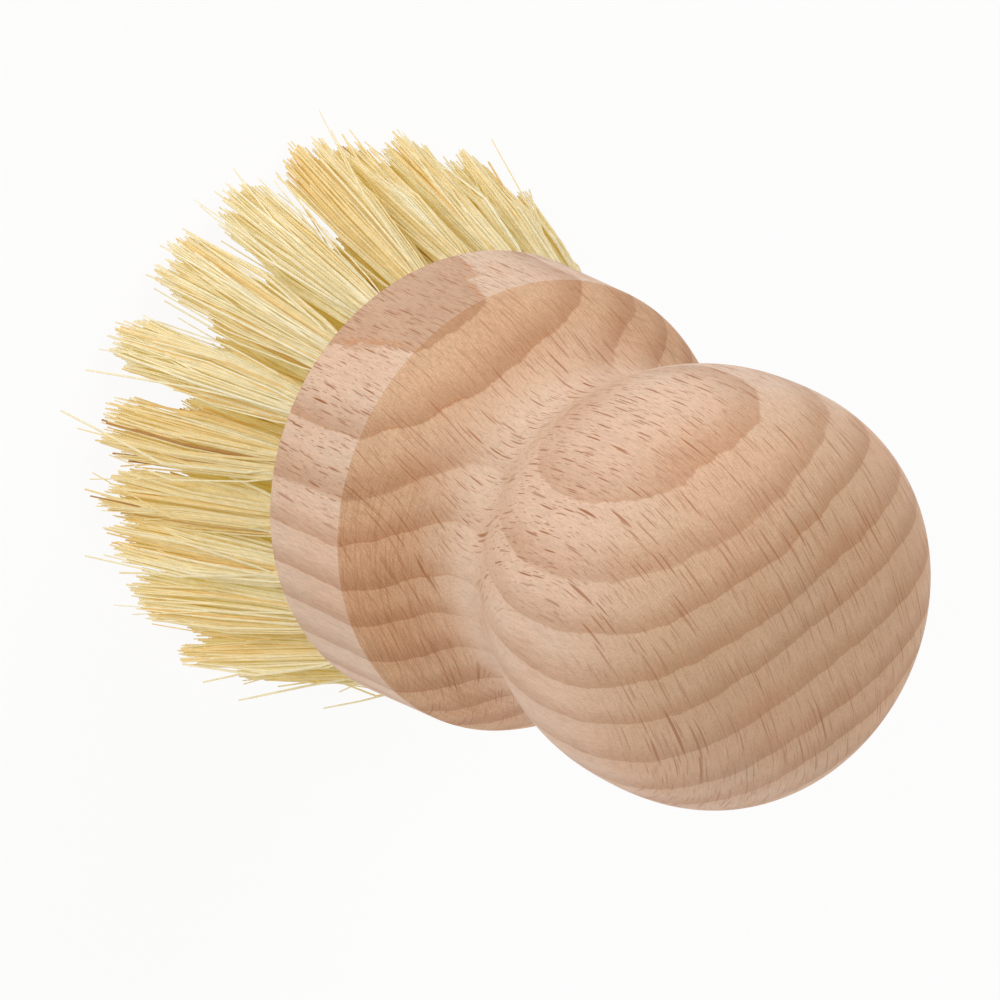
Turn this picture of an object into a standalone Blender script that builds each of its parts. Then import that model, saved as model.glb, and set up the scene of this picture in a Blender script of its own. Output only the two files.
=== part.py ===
"""Dish brush: a turned beech knob with tufts of natural fibre set in its flat face.

The rim, the waist and the knob are one turned piece of wood. Blind holes are drilled into its
bristle face, and each takes one tuft: a bundle of fibre, folded over a flat wire anchor that is
driven across the bottom of the hole and bites into the wood on both sides. The holes fan out from
one point on the turning axis, so the tufts lean outwards and spread to their trimmed ends.

Units are metres, +Z is up and Z is the turning axis. The trimmed fibre ends lie in the plane
Z = 0, the bristle face is above them and the knob is at the top.
"""

import math

import bmesh
import bpy
from mathutils import Matrix, Vector

# Turned block, from the bristle face to the end of the knob
RIM_RADIUS = 0.0275
RIM_HEIGHT = 0.0136
RIM_TAPER = 0.0009
RIM_EDGE_BREAK = 0.0004
SHOULDER_ARC_RADIUS = 0.0186
SHOULDER_START_ANGLE = math.radians(21.2)
WAIST_DEPTH = 0.0045
WAIST_ARC_RADIUS = 0.0092
KNOB_RADIUS = 0.0232
KNOB_SIDE_ARC_RADIUS = 0.0252
KNOB_END_RISE = 0.0199
KNOB_END_SQUARENESS = 2.66
KNOB_FLAT_RADIUS = 0.007

# Drilled holes: rings of them, each hole aimed at the fan's centre on the turning axis
HOLE_RADIUS = 0.0021
HOLE_DEPTH = 0.008
HOLE_POINT_ANGLE = math.radians(118)
EDGE_LAND = 0.002
FAN_CENTRE_HEIGHT = 0.0757
RING_NAMES = ("outer", "second", "third", "inner")
RING_COUNTS = (23, 16, 10, 4)
RING_RADIUS_SHARES = (1.0, 0.73, 0.46, 0.19)
RING_TURN_SHARES = (0.287, 0.5, 0.25, 0.0)

# Tufts
FIBRE_LENGTH = 0.0276
TIP_GAP = 0.0003
STRANDS_AROUND = 7
STRAND_SIDES = 3
STRAND_RADIUS_SHARE = 0.235
STRAND_RING_SHARE = 0.62
STRAND_TAPER_SHARE = 0.85

# Wire anchors
ANCHOR_THICKNESS = 0.0004
ANCHOR_HEIGHT = 0.0018
ANCHOR_BITE = 0.00025
ANCHOR_SLANT = math.radians(45)
FOLD_THICKNESS = 0.0009

# Clearances, and how far a cutter runs past the face that it cuts
SEAT_CLEARANCE = 0.0003
CUT_OVERRUN = 0.002

# Facets
TURNED_SEGMENTS = 64
SHOULDER_STEPS = 5
WAIST_STEPS = 8
KNOB_SIDE_STEPS = 5
KNOB_END_STEPS = 9
HOLE_SIDES = 10
TUFT_SIDES = 8

# Sizes that follow
RIM_TOP_RADIUS = RIM_RADIUS - RIM_TAPER
WAIST_RADIUS = KNOB_RADIUS - WAIST_DEPTH
OUTER_RING_RADIUS = RIM_RADIUS - EDGE_LAND - HOLE_RADIUS
HOLE_POINT_HEIGHT = HOLE_RADIUS / math.tan(HOLE_POINT_ANGLE / 2)
TUFT_RADIUS = HOLE_RADIUS * math.cos(math.pi / HOLE_SIDES) - SEAT_CLEARANCE
TUFT_DEPTH = HOLE_DEPTH - SEAT_CLEARANCE
ANCHOR_DEPTH = TUFT_DEPTH - FOLD_THICKNESS - ANCHOR_HEIGHT / 2
ANCHOR_HALF_LENGTH = HOLE_RADIUS + ANCHOR_BITE
STRAND_RADIUS = TUFT_RADIUS * STRAND_RADIUS_SHARE
STRAND_TIP_RADIUS = STRAND_RADIUS * STRAND_TAPER_SHARE
FAN_GROWTH = 1 + FIBRE_LENGTH / FAN_CENTRE_HEIGHT


def beech():
    """Pale pinkish brown wood, sanded and left raw."""
    return plain_material("beech", (0.61, 0.38, 0.24, 1), 0.62, 0)


def fibre():
    """Straw-coloured plant fibre with a dull sheen."""
    return plain_material("plant_fibre", (0.78, 0.63, 0.33, 1), 0.55, 0)


def anchor_wire():
    """Flat galvanised steel wire."""
    return plain_material("anchor_wire", (0.56, 0.57, 0.58, 1), 0.38, 1)


def plain_material(name, colour, roughness, metallic):
    material = bpy.data.materials.new(name)
    material.use_nodes = True
    shader = material.node_tree.nodes["Principled BSDF"]
    shader.inputs["Base Color"].default_value = colour
    shader.inputs["Roughness"].default_value = roughness
    shader.inputs["Metallic"].default_value = metallic
    return material


def arc(centre, radius, start, end, steps):
    """Points of an arc as (distance from the axis, height), its first point left out."""
    angles = [start + (end - start) * step / steps for step in range(1, steps + 1)]
    return [(centre[0] + radius * math.cos(a), centre[1] + radius * math.sin(a)) for a in angles]


def tangent_height(lower_centre, upper_centre_radius, reach):
    """Height of an arc centre that lies reach from the one below it."""
    sideways = upper_centre_radius - lower_centre[0]
    return lower_centre[1] + math.sqrt(reach**2 - sideways**2)


def direction(start, end):
    return math.atan2(end[1] - start[1], end[0] - start[0])


def block_profile():
    """The turned outline as (distance from the axis, height above the bristle face).

    A nearly straight band ends at a crisp arris. From there an outward arc is the shoulder, an
    inward arc that touches it is the waist, and a third that touches the waist is the knob's side.
    The knob's end is a quarter of a squarish oval, cut flat near the axis.
    """
    points = [
        (RIM_RADIUS - RIM_EDGE_BREAK, 0),
        (RIM_RADIUS, RIM_EDGE_BREAK),
        (RIM_TOP_RADIUS, RIM_HEIGHT),
    ]
    shoulder = (
        RIM_TOP_RADIUS - SHOULDER_ARC_RADIUS * math.cos(SHOULDER_START_ANGLE),
        RIM_HEIGHT - SHOULDER_ARC_RADIUS * math.sin(SHOULDER_START_ANGLE),
    )
    waist_out = WAIST_RADIUS + WAIST_ARC_RADIUS
    waist = (waist_out, tangent_height(shoulder, waist_out, SHOULDER_ARC_RADIUS + WAIST_ARC_RADIUS))
    knob_out = KNOB_RADIUS - KNOB_SIDE_ARC_RADIUS
    knob = (knob_out, tangent_height(waist, knob_out, WAIST_ARC_RADIUS + KNOB_SIDE_ARC_RADIUS))
    leaves_shoulder = direction(shoulder, waist)
    leaves_waist = direction(waist, knob)
    points += arc(
        shoulder, SHOULDER_ARC_RADIUS, SHOULDER_START_ANGLE, leaves_shoulder, SHOULDER_STEPS
    )
    points += arc(waist, WAIST_ARC_RADIUS, leaves_shoulder - math.pi, leaves_waist - math.tau, WAIST_STEPS)
    points += arc(knob, KNOB_SIDE_ARC_RADIUS, leaves_waist - math.pi, 0, KNOB_SIDE_STEPS)
    last = math.acos((KNOB_FLAT_RADIUS / KNOB_RADIUS) ** (KNOB_END_SQUARENESS / 2))
    for step in range(1, KNOB_END_STEPS + 1):
        turn = last * step / KNOB_END_STEPS
        points.append(
            (
                KNOB_RADIUS * math.cos(turn) ** (2 / KNOB_END_SQUARENESS),
                knob[1] + KNOB_END_RISE * math.sin(turn) ** (2 / KNOB_END_SQUARENESS),
            )
        )
    return points


def turned(profile, segments):
    """A closed mesh that a profile of (distance from the axis, height) makes when it is turned."""
    bm = bmesh.new()
    points = [bm.verts.new((radius, 0, height)) for radius, height in profile]
    edges = [bm.edges.new(pair) for pair in zip(points, points[1:])]
    bmesh.ops.spin(
        bm,
        geom=points + edges,
        cent=(0, 0, 0),
        axis=(0, 0, 1),
        angle=math.tau,
        steps=segments,
        use_merge=True,
    )
    rims = [edge for edge in bm.edges if edge.is_boundary]
    bmesh.ops.holes_fill(bm, edges=rims, sides=0)
    bmesh.ops.recalc_face_normals(bm, faces=bm.faces)
    return bm


def finished_mesh(bm, name):
    mesh = bpy.data.meshes.new(name)
    bm.to_mesh(mesh)
    bm.free()
    return mesh


def add_object(name, mesh, location, turn, parent):
    thing = bpy.data.objects.new(name, mesh)
    thing.location = location
    thing.rotation_euler.z = turn
    thing.parent = parent
    bpy.context.scene.collection.objects.link(thing)
    return thing


def ring_radius(ring):
    return OUTER_RING_RADIUS * RING_RADIUS_SHARES[ring]


def places(ring):
    """(mouth of the hole above the fibre ends, turn about the axis) for each tuft of a ring."""
    count = RING_COUNTS[ring]
    for index in range(count):
        turn = math.tau * (index + RING_TURN_SHARES[ring]) / count
        outwards = Vector((math.cos(turn), math.sin(turn), 0))
        yield outwards * ring_radius(ring) + Vector((0, 0, FIBRE_LENGTH)), turn


def hole_frame(ring):
    """Axes of a hole at its mouth: across the anchor, along the anchor, and in along the hole.

    The anchors lie aslant to the ring, so that none of them points at a neighbouring hole, where
    it would split the wood between the two.
    """
    inwards = Vector((-ring_radius(ring), 0, FAN_CENTRE_HEIGHT)).normalized()
    sideways = Vector((0, 1, 0))
    across = sideways.cross(inwards)
    square = Matrix((across, sideways, inwards)).transposed().to_4x4()
    return square @ Matrix.Rotation(ANCHOR_SLANT, 4, "Z")


def repeated(mesh_of_ring, name):
    """One mesh that holds the ring's own mesh at each place of every ring."""
    bm = bmesh.new()
    for ring in range(len(RING_COUNTS)):
        one = mesh_of_ring(ring)
        for mouth, turn in places(ring):
            before = len(bm.verts)
            bm.from_mesh(one)
            bm.verts.ensure_lookup_table()
            placing = Matrix.Translation(mouth) @ Matrix.Rotation(turn, 4, "Z")
            bmesh.ops.transform(bm, matrix=placing, verts=bm.verts[before:])
        bpy.data.meshes.remove(one)
    return finished_mesh(bm, name)


def drill(ring):
    """A hole's own shape: a cylinder from outside the face, with a drill's point at its end."""
    outline = [
        (HOLE_RADIUS, -CUT_OVERRUN),
        (HOLE_RADIUS, HOLE_DEPTH),
        (0, HOLE_DEPTH + HOLE_POINT_HEIGHT),
    ]
    bm = turned(outline, HOLE_SIDES)
    bmesh.ops.remove_doubles(bm, verts=bm.verts, dist=SEAT_CLEARANCE / HOLE_SIDES)
    bmesh.ops.transform(bm, matrix=hole_frame(ring), verts=bm.verts)
    return finished_mesh(bm, "drill")


def anchor_notch(ring):
    """The slot that an anchor presses into the walls of its hole, with its clearance."""
    bm = bmesh.new()
    size = Vector((ANCHOR_THICKNESS, 2 * ANCHOR_HALF_LENGTH, ANCHOR_HEIGHT))
    room = size + Vector((1, 1, 1)) * 2 * SEAT_CLEARANCE
    placing = (
        hole_frame(ring)
        @ Matrix.Translation((0, 0, ANCHOR_DEPTH))
        @ Matrix.Diagonal((*room, 1))
    )
    bmesh.ops.create_cube(bm, size=1, matrix=placing)
    return finished_mesh(bm, "notch")


def cut(block, cutter_mesh, parent):
    """Take a hidden cutter away from the block."""
    cutter = add_object(cutter_mesh.name, cutter_mesh, (0, 0, 0), 0, parent)
    cutter.hide_render = True
    cutter.display_type = "WIRE"
    modifier = block.modifiers.new(cutter_mesh.name, "BOOLEAN")
    modifier.operation = "DIFFERENCE"
    modifier.solver = "EXACT"
    modifier.object = cutter


def add_block(parent):
    """The turned block with its holes and the notches that the anchors make."""
    mesh = finished_mesh(turned(block_profile(), TURNED_SEGMENTS), "turned_block")
    mesh.shade_smooth()
    mesh.set_sharp_from_angle(angle=SHOULDER_START_ANGLE * 2 / 3)
    mesh.materials.append(beech())
    block = add_object("turned_block", mesh, (0, 0, FIBRE_LENGTH), 0, parent)
    cut(block, repeated(drill, "hole_drills"), parent)
    cut(block, repeated(anchor_notch, "anchor_notches"), parent)


def spread_at_tips():
    """Radius that a tuft may fan out to before it meets the next, in the plane of the tips."""
    radii = [ring_radius(ring) * FAN_GROWTH for ring in range(len(RING_COUNTS))]
    along = [2 * r * math.sin(math.pi / n) for r, n in zip(radii, RING_COUNTS)]
    between = [outer - inner for outer, inner in zip(radii, radii[1:])]
    return (min(along + between) - TIP_GAP) / 2


def strand_places():
    """(direction, share of the ring's radius) of each strand: one in the middle, the rest round it."""
    around = [(math.tau * index / STRANDS_AROUND, 1) for index in range(STRANDS_AROUND)]
    return [(0, 0)] + around


def triangle(bm, centre, radius, turn):
    corners = [turn + math.tau * side / STRAND_SIDES for side in range(STRAND_SIDES)]
    return [bm.verts.new(centre + radius * Vector((math.cos(a), math.sin(a), 0))) for a in corners]


def add_strands(bm, lean):
    """Tapered strands from the root to the tips, cut level. Returns the edges of their roots."""
    root_ring = TUFT_RADIUS * STRAND_RING_SHARE
    tip_ring = spread_at_tips() - STRAND_TIP_RADIUS
    roots = []
    for turn, share in strand_places():
        outwards = Vector((math.cos(turn), math.sin(turn), 0)) * share
        root = triangle(bm, outwards * root_ring, STRAND_RADIUS, turn)
        tip = triangle(bm, lean + outwards * tip_ring, STRAND_TIP_RADIUS, turn)
        for side in range(STRAND_SIDES):
            after = (side + 1) % STRAND_SIDES
            bm.faces.new((root[side], root[after], tip[after], tip[side]))
            roots.append(bm.edges.get((root[side], root[after])))
        bm.faces.new(tip)
    return roots


def raise_anchor_end(bm, facet, frame, side):
    """Push the anchor's end out of one side of the root: the facet's middle, moved along the wire."""
    bmesh.ops.inset_individual(bm, faces=[facet], thickness=ANCHOR_THICKNESS / 4)
    back = frame.inverted()
    for corner in facet.verts:
        place = back @ corner.co
        place.x = math.copysign(ANCHOR_THICKNESS / 2, place.x)
        place.z = ANCHOR_DEPTH + math.copysign(ANCHOR_HEIGHT / 2, place.z - ANCHOR_DEPTH)
        corner.co = frame @ place
    end = bmesh.ops.extrude_discrete_faces(bm, faces=[facet])["faces"][0]
    for corner in end.verts:
        place = back @ corner.co
        place.y = side * ANCHOR_HALF_LENGTH
        corner.co = frame @ place
    end.material_index = 1
    for edge in end.edges:
        for face in edge.link_faces:
            face.material_index = 1


def tuft(ring):
    """One tuft with its place at the mouth of its hole: root, anchor ends and strands.

    The root fills the hole and ends level with the bristle face. Its sides are turned so that the
    anchor's ends come square out of two of them.
    """
    frame = hole_frame(ring)
    inwards = frame.col[2].to_3d()
    bm = bmesh.new()
    mouth = []
    bottom = []
    for index in range(TUFT_SIDES):
        turn = math.tau * (index + 1 / 2) / TUFT_SIDES
        corner = frame @ Vector((TUFT_RADIUS * math.cos(turn), TUFT_RADIUS * math.sin(turn), 0))
        mouth.append(bm.verts.new(corner - inwards * (corner.z / inwards.z)))
        bottom.append(bm.verts.new(corner + inwards * TUFT_DEPTH))
    bm.faces.new(bottom)
    facets = []
    for index in range(TUFT_SIDES):
        after = (index + 1) % TUFT_SIDES
        facets.append(bm.faces.new((mouth[index], mouth[after], bottom[after], bottom[index])))
    rim = [bm.edges.get((mouth[i], mouth[(i + 1) % TUFT_SIDES])) for i in range(TUFT_SIDES)]
    lean = Vector((ring_radius(ring) * (FAN_GROWTH - 1), 0, -FIBRE_LENGTH))
    roots = add_strands(bm, lean)
    bmesh.ops.triangle_fill(bm, edges=rim + roots, use_beauty=True, normal=(0, 0, -1))
    bmesh.ops.recalc_face_normals(bm, faces=bm.faces)
    quarter = TUFT_SIDES // 4
    raise_anchor_end(bm, facets[quarter - 1], frame, 1)
    raise_anchor_end(bm, facets[3 * quarter - 1], frame, -1)
    bmesh.ops.recalc_face_normals(bm, faces=bm.faces)
    return finished_mesh(bm, RING_NAMES[ring] + "_tuft")


def add_tufts(parent):
    straw = fibre()
    wire = anchor_wire()
    for ring in range(len(RING_COUNTS)):
        mesh = tuft(ring)
        mesh.materials.append(straw)
        mesh.materials.append(wire)
        for number, (mouth, turn) in enumerate(places(ring), start=1):
            add_object(f"tuft_{RING_NAMES[ring]}_{number:02d}", mesh, mouth, turn, parent)


def main():
    for thing in list(bpy.data.objects):
        bpy.data.objects.remove(thing)
    brush = add_object("dish_brush", None, (0, 0, 0), 0, None)
    add_block(brush)
    add_tufts(brush)


main()
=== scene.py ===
"""Dish brush: a turned beech knob with fanned tufts of plant fibre, finished and lit.

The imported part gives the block's height, its rim, and where each tuft leaves its hole and meets
the plane of the trimmed ends. The settings give the other sizes. This file turns a fine surface of
the same outline, drills it, fills each hole with separate fibres and works out the wood as a
solid: growth rings, rays and grain run through the block and show as they do where it is cut.
"""

import math
from functools import partial

import bpy
import numpy as np
from bpy.props import FloatProperty, FloatVectorProperty, IntProperty, PointerProperty
from mathutils import Matrix, Vector


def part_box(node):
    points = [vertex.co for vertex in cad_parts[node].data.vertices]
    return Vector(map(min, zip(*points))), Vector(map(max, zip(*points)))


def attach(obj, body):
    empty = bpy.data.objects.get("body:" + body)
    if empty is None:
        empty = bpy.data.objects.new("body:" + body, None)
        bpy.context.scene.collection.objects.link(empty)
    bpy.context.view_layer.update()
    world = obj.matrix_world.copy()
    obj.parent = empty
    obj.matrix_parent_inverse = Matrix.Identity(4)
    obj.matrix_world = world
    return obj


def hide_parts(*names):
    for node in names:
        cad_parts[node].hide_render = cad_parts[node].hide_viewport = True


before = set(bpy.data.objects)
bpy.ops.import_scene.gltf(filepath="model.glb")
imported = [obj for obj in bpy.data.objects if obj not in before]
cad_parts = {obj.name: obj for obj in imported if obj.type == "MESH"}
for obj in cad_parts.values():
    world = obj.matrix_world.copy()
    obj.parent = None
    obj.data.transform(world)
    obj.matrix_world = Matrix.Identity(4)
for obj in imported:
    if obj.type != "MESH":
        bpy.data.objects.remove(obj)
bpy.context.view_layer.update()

bl_info = {
    "name": "Dish brush",
    "version": (1, 0, 0),
    "blender": (4, 5, 0),
    "location": "View3D > Sidebar > Dish Brush",
    "description": "Builds the turned beech block, the fibre tufts and the studio of a dish brush",
    "category": "Object",
}

BLOCK_NODE = "turned_block"
TUFT_NODES = sorted(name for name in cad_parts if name.startswith("tuft_"))
BLOCK_LOW, BLOCK_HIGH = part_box(BLOCK_NODE)

MILLIMETRES = 1000.0
WHITE = (1.0, 1.0, 1.0, 1.0)
SHARP_ANGLE = math.radians(15)

# Facets along the outline: the sanded edge, the band, each of the three arcs and the knob's end
EDGE_STEPS = 8
BAND_STEPS = 10
ARC_STEPS = 26
KNOB_END_STEPS = 72

# Growth rings across the block from the pith's side outwards, in millimetres from its axis, and
# the height at which they lie there. A ring ends within this share of all of them
FIRST_RING = -31.5
RING_WIDTHS = (6.3, 4.1, 4.9, 4.1, 4.7, 4.3, 5.2, 5.3, 4.2, 4.7, 4.4, 8.0)
RINGS_HEIGHT = 60.0
RING_EDGE = 0.0006

# Height of the waist in millimetres, where the rings show least
WAIST_HEIGHT = 58.5

# Rays: how far apart they lie and half their size, along the rings, up the grain and across the
# rings, in millimetres
BOLD_RAYS = ((1.4, 4.6, 9.0), (0.140, 2.00, 3.6))
PLAIN_RAYS = ((0.58, 3.0, 8.0), (0.088, 1.50, 3.4))
SLIGHT_RAYS = ((0.30, 1.3, 4.0), (0.052, 0.58, 1.8))
LONG_RAYS = ((1.6, 9.0, 14.0), (0.075, 4.2, 6.4))

# The wood's own colours, which the settings hold under these names
BEECH_COLOURS = ("Early Wood", "Late Wood", "Ring Line", "End Grain", "Ray")

# Tints, as factors
BURNISHED = (0.97, 0.93, 0.88, 1.0)
GROOVE_TINT = (0.86, 0.80, 0.72, 1.0)
WARM_TINT = (1.0, 0.965, 0.945, 1.0)
COOL_TINT = (0.985, 1.01, 1.02, 1.0)
LIGHT_THROUGH_FIBRE = (1.0, 0.86, 0.18, 1.0)

# Colours of the fibres by their tone
FIBRE_TONES = (
    (0.0, (0.725, 0.680, 0.560)),
    (0.36, (0.705, 0.615, 0.430)),
    (0.62, (0.690, 0.540, 0.290)),
    (0.84, (0.640, 0.420, 0.170)),
    (1.0, (0.360, 0.185, 0.060)),
)
USUAL_TONE = 0.36
TUFT_TONE_SPREAD = 0.05
LOCK_TONE_SPREAD = 0.15
FIBRE_TONE_SPREAD = 0.13
BROWN_SHARE = 0.07
BROWNER = (0.2, 0.5)

# Fibres: sides, places of the rows along the free length, and rows inside the hole, which keep
# these shares of the root's offset and count as these places. The deepest lies under the anchor's
# middle by a share of its width, and the other at a share of its depth
FIBRE_SIDES = 5
FREE_ROWS = (0.0, 0.2, 0.55, 1.0)
HELD_OFFSETS = (0.8, 0.97)
HELD_ROWS = (-0.25, -0.1)
UNDER_ANCHOR = 0.75
ABOVE_ANCHOR = 0.45
THICKNESS_RANGE = (0.62, 1.3)
TAPER = 0.32
SPREAD_RANGE = (0.9, 1.08)
PLACE_JITTER = 0.05
CHANCE_SPREAD = 0.55
OWN_BEND = 0.6
STRAY_LIMIT = 1.8
STRAY_BEND = 2.4
TRIM_RANGE = (0.1, 0.8)
LOCK_TRIM = 0.7
FULL_LENGTH_SHARE = 0.2
SHORT_SHARE = 0.06
SHORT_BY = 3
TIP_CLEARANCE = 0.00005

# How far the ends of each tuft of the outer ring have moved in use, outwards and then round the
# ring, in tenths of a millimetre
OUTER_TUFTS = [name for name in TUFT_NODES if "outer" in name]
TENTHS_IN_METRE = 10000
END_MOVES = (
    (-8, -23), (-24, -3), (-22, 3), (-6, -6), (12, -8), (4, 3), (14, 10), (2, 14), (9, 27),
    (-1, 35), (13, 32), (19, 30), (20, 27), (16, 16), (22, -25), (16, -15), (20, -6), (20, 13),
    (8, 24), (6, 19), (7, -15), (11, -25), (12, -14),
)
OUTER_LEANS = dict(zip(OUTER_TUFTS, np.array(END_MOVES) / TENTHS_IN_METRE, strict=True))


def settings(kind):
    """The property group of this name on the scene."""
    return getattr(bpy.context.scene, "dish_brush_" + kind)


def setting(kind, name, default, description, **fit):
    """One setting of a property group, with the unit or subtype that fits it."""
    return kind(name=name, default=default, description=description, **fit)


Length = partial(setting, FloatProperty, unit="LENGTH")
Angle = partial(setting, FloatProperty, unit="ROTATION")
Power = partial(setting, FloatProperty, unit="POWER")
Share = partial(setting, FloatProperty, subtype="FACTOR")
Number = partial(setting, FloatProperty)
Count = partial(setting, IntProperty)
Colour = partial(setting, FloatVectorProperty, subtype="COLOR")
Point = partial(setting, FloatVectorProperty, unit="LENGTH")
Way = partial(setting, FloatVectorProperty)


class BlockSizes(bpy.types.PropertyGroup):
    """Sizes of the turned outline and of the holes drilled into its bristle face."""

    rim_radius: Length("Rim radius", BLOCK_HIGH.x, "Radius of the rim at the bristle face")
    rim_height: Length("Rim height", 0.0136, "Height of the nearly straight band, up to the arris")
    rim_taper: Length("Rim taper", 0.0009, "How much smaller the band's radius is at the arris")
    edge_break: Length("Edge break", 0.0004, "Radius of the sanded edge under the band")
    shoulder_arc: Length("Shoulder arc", 0.0186, "Radius of the outward arc above the arris")
    shoulder_start: Angle("Shoulder start", math.radians(21.2),
                          "How far the shoulder already faces upwards at the arris")
    waist_radius: Length("Waist radius", 0.0187, "Radius of the block where it is narrowest")
    waist_arc: Length("Waist arc", 0.0092, "Radius of the inward arc of the waist")
    knob_radius: Length("Knob radius", 0.0232, "Radius of the knob where it is widest")
    knob_side_arc: Length("Knob side arc", 0.0252,
                          "Radius of the outward arc from the waist to the knob's widest place")
    knob_end_rise: Length(
        "Knob end rise", 0.0199,
        "Height of the knob's end above its widest place, before it is sanded flat")
    knob_end_squareness: Number(
        "Knob end squareness", 2.66,
        "Exponent of the knob's end outline: 2 is an ellipse, more is squarer")
    flat_softness: Length("Flat softness", 0.00008,
                          "Height over which the knob's end passes into its sanded flat")
    hole_radius: Length("Hole radius", 0.0021, "Radius of each drilled hole")
    hole_depth: Length("Hole depth", 0.008,
                       "Depth of each hole, to where the drill's point starts")
    drill_point: Angle("Drill point", math.radians(118), "Full angle of the drill's point")
    segments: Count("Segments", 288, "Facets round the turned surface")
    hole_segments: Count("Hole segments", 28, "Facets round each hole")


class TuftSettings(bpy.types.PropertyGroup):
    """How the fibres of a tuft are made and how unevenly they lie."""

    outer_fibres: Count("Fibres in an outer tuft", 175,
                        "Folded fibres of each tuft of the outer ring, two ends each")
    inner_fibres: Count("Fibres in an inner tuft", 125,
                        "Folded fibres of each tuft inside the outer ring, two ends each")
    locks: Count("Locks", 26, "Bunches in which the fibre ends of a tuft draw together")
    lock_pull: Share("Lock pull", 0.50,
                     "How far a fibre's end has drawn towards the middle of its lock")
    mingling: Share("Mingling", 0.32,
                    "How far a fibre's end has moved to a chance place among the others")
    thickness: Length("Thickness", 0.00030, "Mean diameter of a fibre")
    root_radius: Length("Root radius", 0.00185, "Radius of the bundle where it leaves its hole")
    tip_radius: Length("Tip radius", 0.0042, "Radius to which the bundle has spread at its ends")
    inner_spread: Share("Inner spread", 0.76,
                        "Tip radius of a tuft inside the outer ring, as a share of an outer one's")
    flare: Number("Flare", 0.95, "Exponent of the spread along the fibre: over 1 it opens late")
    drift: Length("Drift", 0.0011,
                  "How far the end of a tuft inside the outer ring may lie from its place")
    bend: Length("Bend", 0.0005, "How far a fibre bows between its ends")
    unevenness: Length("Unevenness", 0.0021, "How far the shorter fibres stay behind the longest")
    stray_share: Share("Stray share", 0.045, "Share of fibres that leave their tuft")
    stray_reach: Length("Stray reach", 0.0023, "How far a stray fibre's end lies from its place")
    anchor_depth: Length("Anchor depth", 0.0059, "Depth of the flat wire's middle in its hole")
    anchor_height: Length("Anchor height", 0.0018, "Width of the flat wire, along the hole")
    anchor_thickness: Length("Anchor thickness", 0.0004, "Thickness of the flat wire")
    anchor_length: Length("Anchor length", 0.0047,
                          "Length of the flat wire, across the hole and into its walls")
    anchor_slant: Angle("Anchor slant", math.radians(45),
                        "Turn of the anchor about its hole, away from the ring's own direction")
    seed: Count("Seed", 11, "Start of the random draws")


class BeechFigure(bpy.types.PropertyGroup):
    """Colours of the wood and the lie of its rings."""

    early_wood: Colour("Early wood", (0.670, 0.465, 0.340), "Pale wood at the start of each ring")
    late_wood: Colour("Late wood", (0.465, 0.260, 0.152), "Darker wood at the end of each ring")
    ring_line: Colour("Ring line", (0.55, 0.25, 0.11), "Warm thin line where a ring ends")
    end_grain: Colour("End grain", (0.87, 0.73, 0.56),
                      "What cut fibre ends make of the wood, as a factor")
    ray: Colour("Ray", (0.310, 0.100, 0.026), "Reddish brown of the rays")
    ring_angle: Angle("Ring angle", math.radians(54.6),
                      "Direction across the rings, towards the bark, turned from +X about the axis")
    ring_tilt: Number("Ring tilt", 0.031,
                      "How much the rings shift towards the bark for each unit of height")
    ring_bow: Number("Ring bow", 218.0, "Radius of the rings' curve in millimetres")


class StudioSettings(bpy.types.PropertyGroup):
    """The camera, the lamps and the floor."""

    camera_place: Point("Camera place", (0.0, -0.20154, 0.295028), "Where the camera stands")
    camera_aim: Point("Camera aim", (0.00086, 0.00015, 0.03384), "Where the camera looks")
    camera_roll: Angle("Camera roll", math.radians(114.38), "Turn of the camera about its own view")
    focal_length: Number("Focal length", 102.15, "In millimetres, on a sensor 36 mm wide")
    surround: Number("Surround", 0.44, "Strength of the even light from all round")
    surround_colour: Colour("Surround colour", (1.0, 0.90, 0.76), "Colour of the even light")
    lamp_colour: Colour("Lamp colour", (0.95, 1.0, 1.06), "Colour of the lamps, slightly cool")
    key_power: Power("Key power", 3.6, "Power of the raised soft lamp")
    key_direction: Way("Key direction", (-0.819, 0.0, 0.574), "From the brush to the raised lamp")
    side_power: Power("Side power", 5.4, "Power of the low lamp beside the camera")
    side_direction: Way("Side direction", (0.0, -0.978, 0.208),
                        "From the brush to the lamp beside the camera")
    back_power: Power("Back power", 4.2, "Power of the low lamp behind the brush")
    back_direction: Way("Back direction", (0.692, 0.692, 0.208), "From the brush to the one behind")
    lamp_distance: Length("Lamp distance", 0.9, "Distance of the lamps")
    lamp_size: Length("Lamp size", 0.6, "Side of each lamp")
    floor_radius: Length("Floor radius", 6.0, "Radius of the round floor")


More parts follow.
